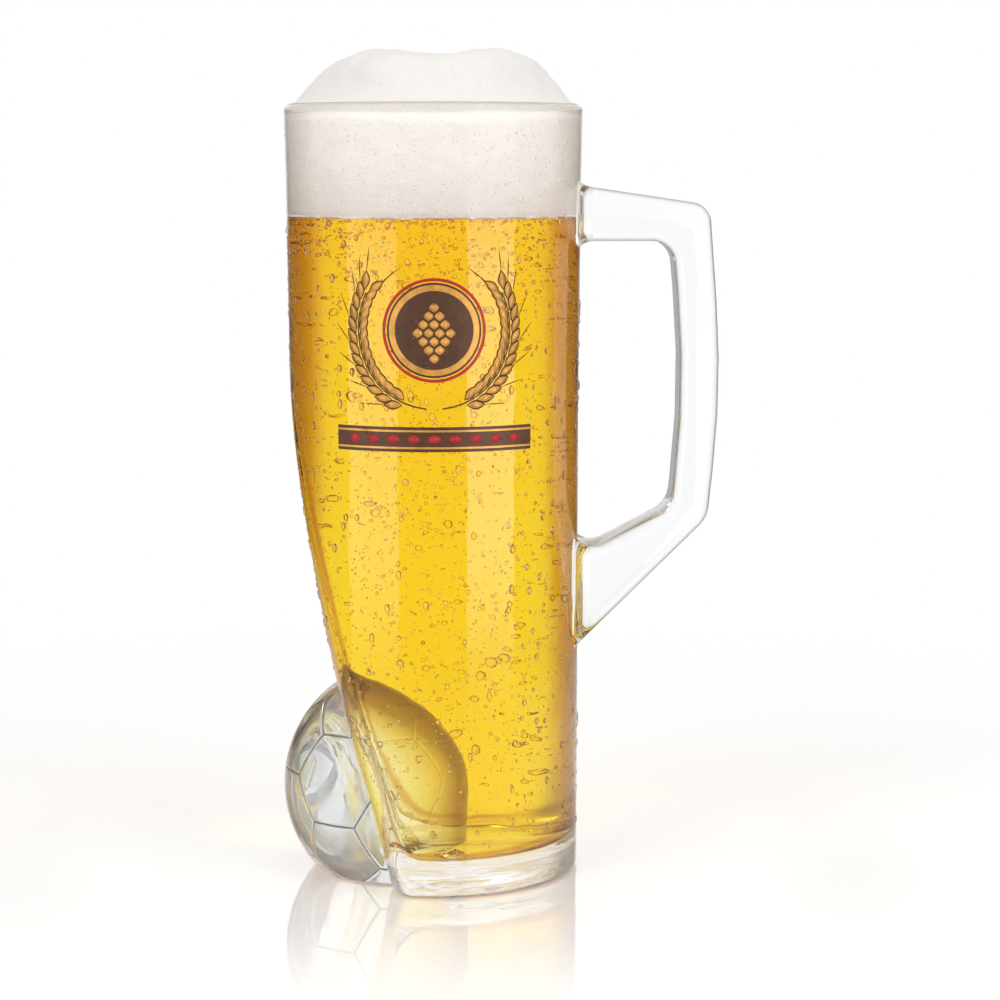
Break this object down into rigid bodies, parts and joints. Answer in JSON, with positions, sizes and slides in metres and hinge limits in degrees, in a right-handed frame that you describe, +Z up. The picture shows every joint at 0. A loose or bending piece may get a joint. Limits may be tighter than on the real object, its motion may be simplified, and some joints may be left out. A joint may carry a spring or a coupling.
{
  "type": "beer mug",
  "caption": "Tall glass beer mug with an angular handle, a leaning facet and a glass football in its foot, filled with lager under a crown of foam.",
  "frame": {"origin": "on the barrel's axis, at the underside of the foot", "axes": "+Z up along the barrel's axis, +X to the handle, -X to the football"},
  "size_m": [0.1134, 0.077, 0.2119],
  "materials": {
    "body_glass": "clear polished",
    "handle_glass": "clear polished",
    "ball_glass": "clear polished",
    "lager": "clear amber liquid",
    "foam": "matte fine foam"
  },
  "bodies": {
    "root": {"mug_body": "body_glass", "handle": "handle_glass", "football": "ball_glass", "beer": "lager", "foam_head": "foam"}
  },
  "joints": []
}
